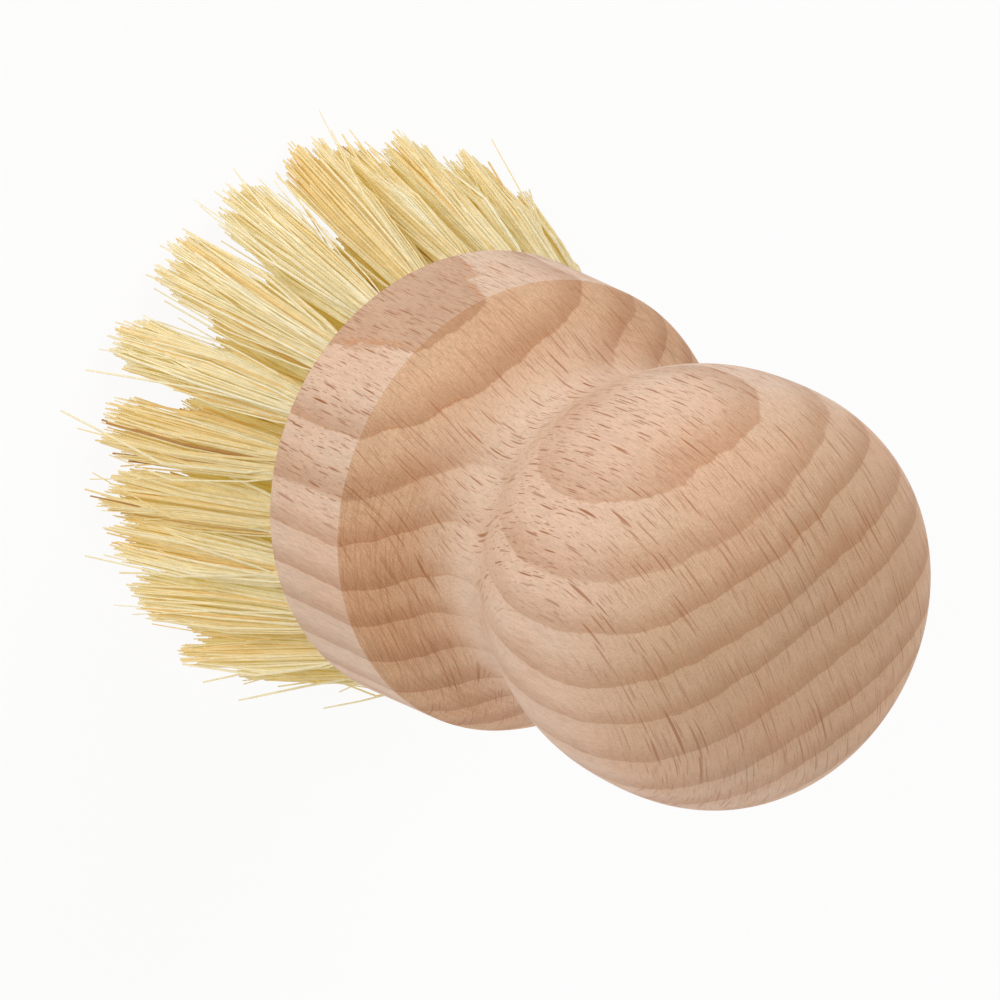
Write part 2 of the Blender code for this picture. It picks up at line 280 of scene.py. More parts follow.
class Graph:
    """Short calls that wire a node tree: each adds one node and returns what it gives."""

    COLUMN = 190
    ROWS = 6

    def __init__(self, tree):
        self.tree = tree
        self.count = 0

    def node(self, kind, **values):
        node = self.tree.nodes.new(kind)
        for name, value in values.items():
            setattr(node, name, value)
        column, row = divmod(self.count, self.ROWS)
        node.location = (column * self.COLUMN, -row * self.COLUMN)
        self.count += 1
        return node

    def feed(self, socket, value):
        if isinstance(value, bpy.types.NodeSocket):
            self.tree.links.new(value, socket)
        else:
            socket.default_value = value

    def fill(self, sockets, values):
        """Feed sockets by their names."""
        for name, value in values.items():
            self.feed(sockets[name], value)

    def fed(self, node, values):
        for socket, value in zip(node.inputs, values):
            self.feed(socket, value)
        return node

    def math(self, operation, *values, clamp=False):
        node = self.node("ShaderNodeMath", operation=operation, use_clamp=clamp)
        return self.fed(node, values).outputs[0]

    def times(self, first, second):
        return self.math("MULTIPLY", first, second)

    def plus(self, first, second, clamp=False):
        return self.math("ADD", first, second, clamp=clamp)

    def swing(self, value, factor, middle, clamp=False):
        """Middle, moved by value times factor."""
        return self.math("MULTIPLY_ADD", value, factor, middle, clamp=clamp)

    def vector(self, operation, *values):
        node = self.node("ShaderNodeVectorMath", operation=operation)
        result = "Value" if operation in ("DOT_PRODUCT", "LENGTH") else "Vector"
        return self.fed(node, values).outputs[result]

    def scaled(self, vector, factor):
        node = self.node("ShaderNodeVectorMath", operation="SCALE")
        self.fill(node.inputs, {"Vector": vector, "Scale": factor})
        return node.outputs["Vector"]

    def combine(self, x, y, z):
        return self.fed(self.node("ShaderNodeCombineXYZ"), (x, y, z)).outputs[0]

    def grey(self, level):
        return self.combine(level, level, level)

    def cells(self, ways, size):
        """A place counted in cells of this size."""
        return self.combine(*(self.math("DIVIDE", way, side) for way, side in zip(ways, size)))

    def separate(self, vector):
        return self.fed(self.node("ShaderNodeSeparateXYZ"), (vector,)).outputs

    def noise(self, vector, detail=2.0, roughness=0.5, scale=1.0):
        """Cloudy value, mostly 0.25 to 0.75, whose lumps are about 1 / scale across."""
        node = self.node("ShaderNodeTexNoise")
        values = {"Vector": vector, "Scale": scale, "Detail": detail, "Roughness": roughness}
        self.fill(node.inputs, values)
        return node.outputs["Fac"]

    def ease(self, value, low, high, to_low=0.0, to_high=1.0):
        """Smooth step from to_low, at low and under, to to_high, at high and over."""
        node = self.node("ShaderNodeMapRange", interpolation_type="SMOOTHSTEP")
        self.fed(node, (value, low, high, to_low, to_high))
        return node.outputs[0]

    def blend(self, amount, first, second, mode="MIX"):
        """Second colour over the first by amount."""
        node = self.node("ShaderNodeMix", data_type="RGBA", blend_type=mode)
        factor, *_ = node.inputs
        sockets = [socket for socket in node.inputs if socket.type == "RGBA"]
        self.feed(factor, amount)
        self.feed(sockets[0], first)
        self.feed(sockets[1], second)
        return next(socket for socket in node.outputs if socket.type == "RGBA")

    def tinted(self, colour, tint):
        """Colour times tint."""
        return self.blend(1.0, colour, tint, "MULTIPLY")


def opaque(colour):
    return (*colour, 1.0)


def new_group(name, inputs, outputs):
    """A shader node group with these sockets: its graph, what it is given and what it gives."""
    tree = bpy.data.node_groups.new(name, "ShaderNodeTree")
    for sockets, side in ((inputs, "INPUT"), (outputs, "OUTPUT")):
        for socket, kind in sockets.items():
            tree.interface.new_socket(socket, in_out=side, socket_type="NodeSocket" + kind)
    graph = Graph(tree)
    return graph, graph.node("NodeGroupInput").outputs, graph.node("NodeGroupOutput").inputs


def new_material(name):
    """A material, its graph, its shader and the object coordinates in millimetres."""
    material = bpy.data.materials.new(name)
    material.use_nodes = True
    graph = Graph(material.node_tree)
    place = graph.node("ShaderNodeTexCoord").outputs["Object"]
    millimetres = graph.scaled(place, MILLIMETRES)
    return material, graph, material.node_tree.nodes["Principled BSDF"], millimetres


def speckle_group():
    """Fine grain of any surface: a cloud stretched by its own cell, from -1 to 1. Built once."""
    built = bpy.data.node_groups.get("speckle")
    if built:
        return built
    sockets = {"Place": "Vector", "Cell": "Vector"}
    graph, given, result = new_group("speckle", sockets, {"Value": "Float"})
    cell = graph.vector("DIVIDE", given["Place"], given["Cell"])
    cloud = graph.noise(cell, detail=3.0, roughness=0.6)
    graph.feed(result["Value"], graph.ease(cloud, 0.3, 0.7, -1.0, 1.0))
    return graph.tree


def speckle(graph, place, cell):
    """Place the speckle group, with its cell in millimetres."""
    node = graph.node("ShaderNodeGroup", node_tree=speckle_group())
    graph.fill(node.inputs, {"Place": place, "Cell": cell})
    return node.outputs["Value"]


def ring_phase(graph, across):
    """How far a place lies through its growth ring, 0 at the start and 1 at the end.

    A ramp rises from black to white over each ring and falls back at once where the next begins.
    """
    total = sum(RING_WIDTHS)
    ramp = graph.node("ShaderNodeValToRGB")
    stops = ramp.color_ramp.elements
    stops[0].color = (0.0, 0.0, 0.0, 1.0)
    stops[1].color = WHITE
    edge = 0.0
    for width in RING_WIDTHS[:-1]:
        edge += width / total
        for place, value in ((edge - RING_EDGE, 1.0), (edge + RING_EDGE, 0.0)):
            stops.new(place).color = (value, value, value, 1.0)
    share = graph.math("DIVIDE", graph.math("SUBTRACT", across, FIRST_RING), total)
    graph.feed(ramp.inputs[0], share)
    return graph.plus(ramp.outputs["Color"], 0.0)


def ray_mask(graph, ways, spacing, half):
    """Spindles of ray wood: flat ellipsoids, one near each point of a stretched random lattice.

    The value is a spindle's own strength in its middle and falls to 0 at its edge, where
    length(offset / half size) is the spindle's own reach.
    """
    cell = graph.cells(ways, spacing)
    lattice = graph.node("ShaderNodeTexVoronoi", feature="F1")
    graph.fill(lattice.inputs, {"Vector": cell, "Scale": 1.0})
    offset = graph.vector("SUBTRACT", cell, lattice.outputs["Position"])
    stretch = tuple(space / size for space, size in zip(spacing, half))
    distance = graph.vector("LENGTH", graph.vector("MULTIPLY", offset, stretch))
    size_chance, depth_chance, _ = graph.separate(lattice.outputs["Color"])
    reach = graph.swing(size_chance, 0.8, 0.4)
    spindle = graph.ease(graph.math("DIVIDE", distance, reach), 1.0, 0.55)
    return graph.times(spindle, graph.swing(depth_chance, 0.40, 0.60))


def grain_ways(graph, place, figure):
    """Millimetres along the rings, up the grain and across the rings, which tilt and bow."""
    cosine, sine = math.cos(figure.ring_angle), math.sin(figure.ring_angle)
    outwards = graph.vector("DOT_PRODUCT", place, (cosine, sine, -figure.ring_tilt))
    along = graph.vector("DOT_PRODUCT", place, (-sine, cosine, 0.0))
    bow = graph.times(graph.times(along, along), 0.5 / figure.ring_bow)
    return along, graph.separate(place)[2], graph.math("SUBTRACT", outwards, bow)


def ring_colour(graph, place, ways, given, figure):
    """Early wood, late wood and the broken line that ends a ring, which clouds make wander."""
    _, up, across = ways
    broad = speckle(graph, place, (19.0, 19.0, 60.0))
    small = speckle(graph, place, (3.2, 3.2, 14.0))
    tiny = speckle(graph, place, (0.45, 0.45, 0.9))
    wander = graph.plus(graph.times(broad, 0.45), graph.times(small, 0.16))
    wander = graph.swing(tiny, 0.05, wander)
    level = RINGS_HEIGHT * figure.ring_tilt
    phase = ring_phase(graph, graph.plus(graph.plus(across, wander), level))
    from_waist = graph.math("ABSOLUTE", graph.math("SUBTRACT", up, WAIST_HEIGHT))
    calm_waist = graph.ease(from_waist, 3.0, 11.0, 0.3, 1.0)
    contrast = graph.times(calm_waist, graph.ease(up, 60.0, 76.0, 0.72, 0.62))
    late = graph.times(graph.ease(phase, 0.30, 1.0), contrast)
    patches = speckle(graph, place, (11.0, 11.0, 30.0))
    amount = graph.swing(patches, 0.10, late, clamp=True)
    colour = graph.blend(amount, given["Early Wood"], given["Late Wood"])
    line = graph.ease(phase, 0.95, 0.98, 0.0, 0.75)
    near_rim = graph.ease(up, 44.0, 60.0, 1.0, 0.3)
    broken = graph.times(graph.times(line, near_rim), graph.ease(small, -0.7, 0.7, 0.15, 1.0))
    return graph.blend(broken, colour, given["Ring Line"])


def cut_square_share(graph, facing, up):
    """How much end grain shows: on the shoulder and towards the knob's end, where it faces up."""
    square = graph.math("ABSOLUTE", graph.separate(facing)[2])
    shoulder = graph.ease(up, 45.0, 55.0, 0.66, 0.0)
    knob = graph.ease(up, 76.0, 90.0, 0.16, 0.60)
    return graph.times(graph.ease(square, 0.04, 0.45), graph.plus(shoulder, knob))


def lathe_marks(graph, place, along, up):
    """Where the lathe has burnished the shoulder, and the grooves it left round the axis."""
    from_axis = graph.vector("LENGTH", graph.vector("MULTIPLY", place, (1.0, 1.0, 0.0)))
    beside_axis = graph.math("ABSOLUTE", graph.math("DIVIDE", along, from_axis))
    above_arris = graph.ease(up, 41.1, 41.5)
    below_waist = graph.ease(up, 47.0, 55.0, 1.0, 0.0)
    on_shoulder = graph.times(above_arris, below_waist)
    turned = graph.times(on_shoulder, graph.ease(beside_axis, 0.5, 0.9))
    circles = speckle(graph, place, (5.0, 5.0, 0.17))
    return turned, graph.times(turned, graph.ease(circles, -0.1, 0.9))


def fine_grain(graph, place, ways, cut_square):
    """Light and dark as a factor: streaks of pores, or stripes and pore ends where cut square."""
    streaks = graph.noise(graph.cells(ways, (0.24, 2.6, 0.24)), detail=3.0, roughness=0.62)
    pore = graph.ease(streaks, 0.36, 0.64, 0.92, 1.06)
    stripes = graph.noise(graph.cells(ways, (0.13, 0.8, 2.2)), detail=2.0, roughness=0.55)
    stripe = graph.ease(stripes, 0.35, 0.65, 0.89, 1.07)
    end = graph.swing(speckle(graph, place, (0.11, 0.11, 0.3)), 0.12, stripe)
    lengthwise = graph.times(pore, graph.math("SUBTRACT", 1.0, cut_square))
    fine = graph.plus(lengthwise, graph.times(end, cut_square))
    return graph.swing(speckle(graph, place, (0.15, 0.15, 0.19)), 0.07, fine)


def ray_share(graph, place, ways, cut_square, flat_side):
    """How much of a ray shows: three sizes of spindle, and long ones where cut square.

    Rays fade where their flat side lies in the surface.
    """
    along, up, across = ways
    sway = graph.noise(graph.vector("MULTIPLY", place, (0.12, 0.12, 0.10)), detail=0.0)
    swayed = (graph.swing(sway, 1.2, along), up, across)
    bold, plain, slight, long_ray = (
        ray_mask(graph, swayed, *kind) for kind in (BOLD_RAYS, PLAIN_RAYS, SLIGHT_RAYS, LONG_RAYS)
    )
    long_ray = graph.times(long_ray, graph.ease(cut_square, 0.08, 0.35, 0.0, 0.72))
    long_ray = graph.times(long_ray, graph.ease(up, 58.0, 72.0, 1.0, 0.5))
    shown = graph.math("MAXIMUM", bold, graph.times(plain, 0.94))
    shown = graph.math("MAXIMUM", shown, graph.times(slight, 0.78))
    shown = graph.times(shown, graph.swing(cut_square, -0.55, 1.0))
    shown = graph.math("MAXIMUM", shown, long_ray)
    return graph.times(shown, graph.ease(flat_side, 0.74, 0.96, 1.0, 0.10))


def beech_group(figure):
    """The wood as a solid: its colour and height at a place, and how square it is cut there."""
    graph, given, result = new_group(
        "beech_wood",
        {"Place": "Vector", "Facing": "Vector"} | dict.fromkeys(BEECH_COLOURS, "Color"),
        {"Colour": "Color", "Height": "Float", "Cut Square": "Float"},
    )
    place, facing = given["Place"], given["Facing"]
    ways = along, up, _ = grain_ways(graph, place, figure)
    round_rings = (-math.sin(figure.ring_angle), math.cos(figure.ring_angle), 0.0)
    flat_side = graph.math("ABSOLUTE", graph.vector("DOT_PRODUCT", facing, round_rings))
    cut_square = cut_square_share(graph, facing, up)
    turned, groove = lathe_marks(graph, place, along, up)
    fine = fine_grain(graph, place, ways, cut_square)
    ray = ray_share(graph, place, ways, cut_square, flat_side)

    colour = ring_colour(graph, place, ways, given, figure)
    colour = graph.tinted(colour, graph.blend(cut_square, WHITE, given["End Grain"]))
    colour = graph.tinted(colour, graph.blend(turned, WHITE, BURNISHED))
    cloud = graph.ease(speckle(graph, place, (14.0, 14.0, 26.0)), -0.9, 0.9)
    colour = graph.tinted(colour, graph.blend(cloud, WARM_TINT, COOL_TINT))
    colour = graph.tinted(colour, graph.grey(fine))
    colour = graph.blend(ray, colour, given["Ray"])
    colour = graph.tinted(colour, graph.blend(groove, WHITE, GROOVE_TINT))
    height = graph.swing(ray, -0.3, fine)
    height = graph.swing(groove, -0.15, height)
    graph.fill(result, {"Colour": colour, "Height": height, "Cut Square": cut_square})
    return graph.tree


def beech(name, wood, figure, depth, roughness):
    """A beech surface: the solid wood's colour, pores and fuzz as relief, dull where cut square."""
    material, graph, shader, place = new_material(name)
    solid = graph.node("ShaderNodeGroup", node_tree=wood)
    facing = graph.node("ShaderNodeTexCoord").outputs["Normal"]
    graph.fill(solid.inputs, {"Place": place, "Facing": facing})
    for socket in BEECH_COLOURS:
        tint = getattr(figure, socket.lower().replace(" ", "_"))
        graph.feed(solid.inputs[socket], opaque(tint))
    bump = graph.node("ShaderNodeBump")
    fuzz = speckle(graph, place, (0.16, 0.16, 0.5))
    relief = graph.swing(fuzz, 0.18, solid.outputs["Height"])
    graph.fill(bump.inputs, {"Strength": 0.55, "Distance": depth, "Height": relief})
    dull = graph.swing(solid.outputs["Cut Square"], 0.14, roughness)
    sanded = speckle(graph, place, (2.0, 2.0, 5.0))
    graph.fill(shader.inputs, {
        "Base Color": solid.outputs["Colour"],
        "Roughness": graph.swing(sanded, 0.06, dull),
        "Normal": bump.outputs["Normal"],
        "Specular IOR Level": 0.32,
    })
    return material


def plant_fibre():
    """Dry plant fibre: cream to straw and a few brown ones, by each fibre's own tone.

    Tone and run are attributes of the mesh: tone is one number for each fibre, and run goes from 0
    at the hole's mouth to 1 at the trimmed end. Along run each fibre gets painted shade, darker
    towards the mouth where the block and the other tufts shade it. A weak glow stands for light
    that passes through.
    """
    material, graph, shader, place = new_material("plant_fibre")
    tone = graph.node("ShaderNodeAttribute", attribute_name="tone").outputs["Fac"]
    run = graph.node("ShaderNodeAttribute", attribute_name="run").outputs["Fac"]
    ramp = graph.node("ShaderNodeValToRGB")
    stops = ramp.color_ramp.elements
    for share, _ in FIBRE_TONES[1:-1]:
        stops.new(share)
    for stop, (_, tint) in zip(stops, FIBRE_TONES, strict=True):
        stop.color = opaque(tint)
    graph.feed(ramp.inputs[0], tone)
    streak = speckle(graph, place, (0.5, 0.5, 4.0))
    # Painted shade: each fibre darkens towards the hole's mouth, where the block and the other
    # tufts shade it; the streaks are the fibre's own
    light = graph.swing(streak, 0.06, graph.ease(run, 0.0, 1.0, 0.90, 1.02))
    tinted = graph.tinted(ramp.outputs["Color"], graph.grey(light))
    graph.fill(shader.inputs, {
        "Base Color": tinted,
        "Roughness": graph.swing(streak, 0.07, 0.5),
        "Emission Color": graph.tinted(tinted, LIGHT_THROUGH_FIBRE),
        "Emission Strength": 0.22,
        "Specular IOR Level": 0.3,
        "Sheen Weight": 0.2,
        "Sheen Roughness": 0.5,
        "Sheen Tint": (1.0, 0.86, 0.55, 1.0),
    })
    return material


def anchor_wire():
    """Drawn flat steel wire: fine marks and a slightly uneven dull grey."""
    material, graph, shader, place = new_material("anchor_wire")
    marks = speckle(graph, place, (1.5, 1.5, 0.08))
    dark, light = (0.42, 0.41, 0.40, 1.0), (0.58, 0.57, 0.55, 1.0)
    graph.fill(shader.inputs, {
        "Base Color": graph.blend(graph.ease(marks, -1.0, 1.0), dark, light),
        "Roughness": graph.swing(marks, 0.08, 0.34),
        "Metallic": 1.0,
    })
    return material


def seen_share(graph):
    """1 for what is seen, straight or by a mirror or glass, and 0 for light on its way."""
    path = graph.node("ShaderNodeLightPath").outputs
    seen = graph.plus(path["Is Camera Ray"], path["Is Glossy Ray"])
    return graph.plus(seen, path["Is Transmission Ray"], clamp=True)


def studio_floor():
    """Nearly white to the eye, with a faint shadow, and a plain pale floor to the light."""
    material, graph, shader, place = new_material("studio_floor")
    cloud = graph.noise(place, detail=3.0, scale=0.02)
    shade = graph.grey(graph.ease(cloud, 0.3, 0.7, 0.88, 0.90))
    graph.fill(shader.inputs, {"Base Color": shade, "Roughness": 0.9, "Specular IOR Level": 0.1})
    glow = graph.node("ShaderNodeEmission")
    glow.inputs["Strength"].default_value = 1.0
    white = graph.times(seen_share(graph), 0.92)
    mix = graph.fed(graph.node("ShaderNodeMixShader"), (white, shader.outputs[0], glow.outputs[0]))
    graph.feed(material.node_tree.nodes["Material Output"].inputs["Surface"], mix.outputs[0])
    return material


def arc(centre, radius, start, end, steps):
    """Rows of (distance from the axis, height) on an arc, its first point left out."""
    angles = np.linspace(start, end, steps + 1)[1:]
    return np.array(centre) + radius * np.column_stack((np.cos(angles), np.sin(angles)))


def straight(start, end, steps):
    """Rows on a straight line, its first point left out."""
    return np.linspace(start, end, steps + 1)[1:]


def tangent_height(lower_centre, upper_centre_radius, reach):
    """Height of an arc centre that lies reach from the one below it."""
    return lower_centre[1] + math.sqrt(reach**2 - (upper_centre_radius - lower_centre[0]) ** 2)


def direction(start, end):
    """Angle from one point of the outline's plane to another."""
    return math.atan2(end[1] - start[1], end[0] - start[0])


def block_outline(sizes):
    """The turned outline as rows of (distance from the axis, height above the bristle face).

    A quarter circle breaks the edge, a straight band leads to the arris, and three arcs that touch
    are the shoulder, the waist and the knob's side. The knob's end follows
    (distance / radius) ** n + (height / rise) ** n = 1, held under its flat by a soft minimum:
    -k * log(exp(-height / k) + exp(-flat / k)).
    """
    edge = sizes.edge_break
    arris = (sizes.rim_radius - sizes.rim_taper, sizes.rim_height)
    shoulder_reach = sizes.shoulder_arc
    shoulder = (
        arris[0] - shoulder_reach * math.cos(sizes.shoulder_start),
        arris[1] - shoulder_reach * math.sin(sizes.shoulder_start),
    )
    waist_out = sizes.waist_radius + sizes.waist_arc
    waist = (waist_out, tangent_height(shoulder, waist_out, shoulder_reach + sizes.waist_arc))
    knob_out = sizes.knob_radius - sizes.knob_side_arc
    knob = (knob_out, tangent_height(waist, knob_out, sizes.waist_arc + sizes.knob_side_arc))
    leaves_shoulder = direction(shoulder, waist)
    leaves_waist = direction(waist, knob)

    turn = np.linspace(0.0, math.pi / 2, KNOB_END_STEPS + 1)[1:-1]
    power = 2 / sizes.knob_end_squareness
    across = sizes.knob_radius * np.cos(turn) ** power
    height = knob[1] + sizes.knob_end_rise * np.sin(turn) ** power
    flat = BLOCK_HIGH.z - BLOCK_LOW.z
    soft = sizes.flat_softness
    height = -soft * np.logaddexp(-height / soft, -flat / soft)

    leaves_edge, enters_waist = -math.pi / 2, leaves_shoulder - math.pi
    return np.vstack(
        (
            [(sizes.rim_radius - edge, 0.0)],
            arc((sizes.rim_radius - edge, edge), edge, leaves_edge, 0.0, EDGE_STEPS),
            straight((sizes.rim_radius, edge), arris, BAND_STEPS),
            arc(shoulder, shoulder_reach, sizes.shoulder_start, leaves_shoulder, ARC_STEPS),
            arc(waist, sizes.waist_arc, enters_waist, leaves_waist - math.tau, ARC_STEPS),
            arc(knob, sizes.knob_side_arc, leaves_waist - math.pi, 0.0, ARC_STEPS),
            np.column_stack((across, height)),
        )
    )


def turned_mesh(name, outline, base, segments):
    """Surface of revolution: point (row, turn) is (r cos turn, r sin turn, base + height).

    The first row is closed by one flat face, and a pole closes the last. The rows run from the
    first to the last with the outside to their right, so every face points outwards.
    """
    rows = len(outline)
    turns = np.arange(segments) * math.tau / segments
    radius = outline[:, :1]
    height = np.repeat(outline[:, 1:] + base, segments, 1)
    grid = np.stack((radius * np.cos(turns), radius * np.sin(turns), height), axis=-1)
    points = np.vstack((grid.reshape(-1, 3), (0.0, 0.0, base + outline[-1, 1])))
    index = np.arange(rows * segments).reshape(rows, segments)
    after = np.roll(index, -1, axis=1)
    quads = np.stack((index[:-1], after[:-1], after[1:], index[1:]), axis=-1).reshape(-1, 4)
    pole = np.full(segments, rows * segments)
    fan = np.column_stack((index[-1], after[-1], pole))
    floor = index[:1, ::-1]
    mesh = bpy.data.meshes.new(name)
    mesh.from_pydata(points.tolist(), [], quads.tolist() + fan.tolist() + floor.tolist())
    mesh.validate()
    return mesh


def node_points(name):
    """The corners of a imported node's mesh as rows of x, y, z, each only once."""
    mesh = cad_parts[name].data
    points = np.empty(len(mesh.vertices) * 3)
    mesh.vertices.foreach_get("co", points)
    return np.unique(points.reshape(-1, 3).round(6), axis=0)


def tuft_axis(name):
    """Where a tuft leaves the bristle face and the middle of its trimmed ends, from its node."""
    points = node_points(name)
    near = 0.001
    ends = points[points[:, 2] < near]
    level = points[np.abs(points[:, 2] - BLOCK_LOW.z) < near / 10]
    mouth = (level.min(axis=0) + level.max(axis=0)) / 2
    mouth[2] = BLOCK_LOW.z
    tip = ends.mean(axis=0)
    tip[2] = 0.0
    return Vector(mouth), Vector(tip)


def placed(name, data):
    """A new object in the scene."""
    thing = bpy.data.objects.new(name, data)
    bpy.context.scene.collection.objects.link(thing)
    return thing


def link(mesh, slot, *nodes):
    """A new piece from this mesh, which rides on the one body and stands for these nodes."""
    piece = placed(mesh.name, mesh)
    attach(piece, "root")
    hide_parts(*nodes)
    return piece


def hole_cutter(sizes, material):
    """Every drilled hole in one mesh: a round bore with the drill's point, square to its tuft."""
    point = sizes.hole_radius / math.tan(sizes.drill_point / 2)
    overrun = sizes.hole_radius
    outline = np.array(
        (
            (sizes.hole_radius, -overrun),
            (sizes.hole_radius, sizes.hole_depth),
            (sizes.hole_radius / 50, sizes.hole_depth + point),
        )
    )
    one = turned_mesh("bore", outline, 0.0, sizes.hole_segments)
    corners = np.array([corner.co for corner in one.vertices])
    faces = [np.array(face.vertices) for face in one.polygons]
    bpy.data.meshes.remove(one)
    points, polygons = [], []
    for name in TUFT_NODES:
        mouth, tip = tuft_axis(name)
        turn = (mouth - tip).to_track_quat("Z", "Y").to_matrix()
        points.append(corners @ np.array(turn).T + np.array(mouth))
        start = (len(points) - 1) * len(corners)
        polygons += [(face + start).tolist() for face in faces]
    mesh = bpy.data.meshes.new("bores")
    mesh.from_pydata(np.vstack(points).tolist(), [], polygons)
    mesh.materials.append(material)
    return placed("bores", mesh)


def with_holes(blank, cutter):
    """The blank's mesh with the holes cut out of it."""
    cut = blank.modifiers.new("holes", "BOOLEAN")
    cut.operation = "DIFFERENCE"
    cut.solver = "EXACT"
    cut.material_mode = "TRANSFER"
    cut.object = cutter
    bpy.context.view_layer.update()
    evaluated = blank.evaluated_get(bpy.context.evaluated_depsgraph_get())
    mesh = bpy.data.meshes.new_from_object(evaluated)
    bpy.data.objects.remove(blank)
    bpy.data.objects.remove(cutter)
    return mesh


class DISHBRUSH_OT_block(bpy.types.Operator):
    """Turn the block, drill its holes and give it the look of sanded beech"""

    bl_idname = "dish_brush.block"
    bl_label = "Block"

    def execute(self, context):
        sizes, figure = settings("block"), settings("beech")
        wood = beech_group(figure)
        turned_surface = beech("sanded_beech", wood, figure, 0.00006, 0.52)
        bore_surface = beech("drilled_beech", wood, figure, 0.0002, 0.75)
        mesh = turned_mesh("blank", block_outline(sizes), BLOCK_LOW.z, sizes.segments)
        mesh.materials.append(turned_surface)
        mesh = with_holes(placed("blank", mesh), hole_cutter(sizes, bore_surface))
        mesh.name = "turned_beech_block"
        mesh.shade_smooth()
        mesh.set_sharp_from_angle(angle=SHARP_ANGLE)
        link(mesh, "beech", BLOCK_NODE)
        return {"FINISHED"}


def disc(rng, count):
    """Places spread evenly over half of the unit disc, x over 0, each with a little jitter.

    Place i of a sunflower lies at radius sqrt((i + 0.5) / count) and turns by the golden angle.
    """
    order = np.arange(count) + 0.5
    radius = np.sqrt(order / count)
    turn = order * math.pi * (3 - math.sqrt(5))
    places = np.column_stack((radius * np.cos(turn), radius * np.sin(turn)))
    places += rng.normal(0.0, PLACE_JITTER, places.shape)
    places[:, 0] = np.abs(places[:, 0])
    return places


def trims(rng, count, locks, nearest, unevenness):
    """How far each fibre ends short of the floor: by itself, with its lock, or not at all."""
    trimmed = rng.uniform(*TRIM_RANGE, count) * unevenness
    trimmed += (rng.random(len(locks)) * unevenness * LOCK_TRIM)[nearest]
    trimmed *= np.where(rng.random(count) < FULL_LENGTH_SHARE, rng.random(count), 1.0)
    trimmed += TIP_CLEARANCE
    short = rng.random(count) < SHORT_SHARE
    return trimmed + short * rng.random(count) * unevenness * SHORT_BY


def half_tuft(rng, side, count, tuft, axes, sizes):
    """Paths of one half of a tuft's fibres, from the fold at the anchor out to the trimmed ends.

    A fibre starts at its own place in the hole and ends at the same place of a wider disc, moved
    by chance and drawn towards its lock. Between them its offset from the tuft's axis is
    root + (end - root) * run ** flare + bend * sin(pi * run), and a stray's end lies further off.
    """
    mouth, locks, spread, drift = tuft
    root = disc(rng, count) * (side, 1.0)
    nearest = np.argmin(np.linalg.norm(root[:, None] - locks[None], axis=2), axis=1)
    chance = rng.normal(0.0, CHANCE_SPREAD, root.shape)
    end = root + (chance - root) * sizes.mingling
    end += (locks[nearest] - end) * sizes.lock_pull
    end = end * sizes.tip_radius * spread + drift
    lock_bend = rng.normal(0.0, sizes.bend, (len(locks), 2))
    bend = lock_bend[nearest] + rng.normal(0.0, sizes.bend * OWN_BEND, end.shape)
    stray = (rng.random(count) < sizes.stray_share)[:, None]
    most = STRAY_LIMIT * sizes.stray_reach
    end += stray * rng.normal(0.0, sizes.stray_reach, end.shape).clip(-most, most)
    bend += stray * rng.normal(0.0, sizes.bend * STRAY_BEND, end.shape)
    trimmed = trims(rng, count, locks, nearest, sizes.unevenness)

    along, across, out = axes
    basis = np.array((across, along))
    root_offset = (root * sizes.root_radius) @ basis
    end_offset = end @ basis
    bend_offset = bend @ basis
    length = (trimmed - mouth[2] - end_offset[:, 2]) / out[2]

    run = np.array(FREE_ROWS)
    grown = (run**sizes.flare)[None, :, None]
    bowed = np.sin(math.pi * run)[None, :, None]
    free = mouth + out * (length[:, None] * run[None])[:, :, None]
    free = free + root_offset[:, None] + (end_offset - root_offset)[:, None] * grown
    free = free + bend_offset[:, None] * bowed

    deepest = sizes.anchor_depth + sizes.anchor_height * UNDER_ANCHOR
    depths = np.array((deepest, sizes.anchor_depth * ABOVE_ANCHOR))
    held = mouth - out * depths[None, :, None]
    held = held + root_offset[:, None] * np.array(HELD_OFFSETS)[None, :, None]
    runs = np.array((*HELD_ROWS, *FREE_ROWS))
    return np.concatenate((held, free), axis=1), np.repeat(runs[None], count, axis=0), nearest


def tubes(paths, radii, side):
    """Five-sided closed tubes along many paths at once.

    A corner is path + radius * (cos(a) * side + sin(a) * square), where square is at right angles
    to the path and to side, and a is a fifth of a turn for each corner.
    """
    count, rows, _ = paths.shape
    heading = np.gradient(paths, axis=1)
    square = np.cross(heading, side)
    square /= np.linalg.norm(square, axis=2, keepdims=True)
    angles = np.arange(FIBRE_SIDES) * math.tau / FIBRE_SIDES
    corners = (
        paths[:, :, None]
        + radii[:, :, None, None] * np.cos(angles)[:, None] * side
        + radii[:, :, None, None] * np.sin(angles)[:, None] * square[:, :, None]
    )
    index = np.arange(count * rows * FIBRE_SIDES).reshape(count, rows, FIBRE_SIDES)
    after = np.roll(index, -1, axis=2)
    walls = np.stack((index[:, :-1], index[:, 1:], after[:, 1:], after[:, :-1]), axis=-1)
    ends = np.vstack((index[:, 0], index[:, -1, ::-1]))
    return corners.reshape(-1, 3), walls.reshape(-1, 4), ends


def anchor_box(mouth, axes, sizes):
    """The flat wire of one anchor: its eight corners and six faces."""
    along, across, out = axes
    centre = mouth - out * sizes.anchor_depth
    signs = np.array([(x, y, z) for x in (-1, 1) for y in (-1, 1) for z in (-1, 1)])
    half = np.array((sizes.anchor_thickness, sizes.anchor_length, sizes.anchor_height)) / 2
    corners = centre + (signs * half) @ np.array((across, along, out))
    faces = (0, 1, 3, 2), (4, 6, 7, 5), (0, 4, 5, 1), (2, 3, 7, 6), (0, 2, 6, 4), (1, 5, 7, 3)
    return corners, np.array(faces)


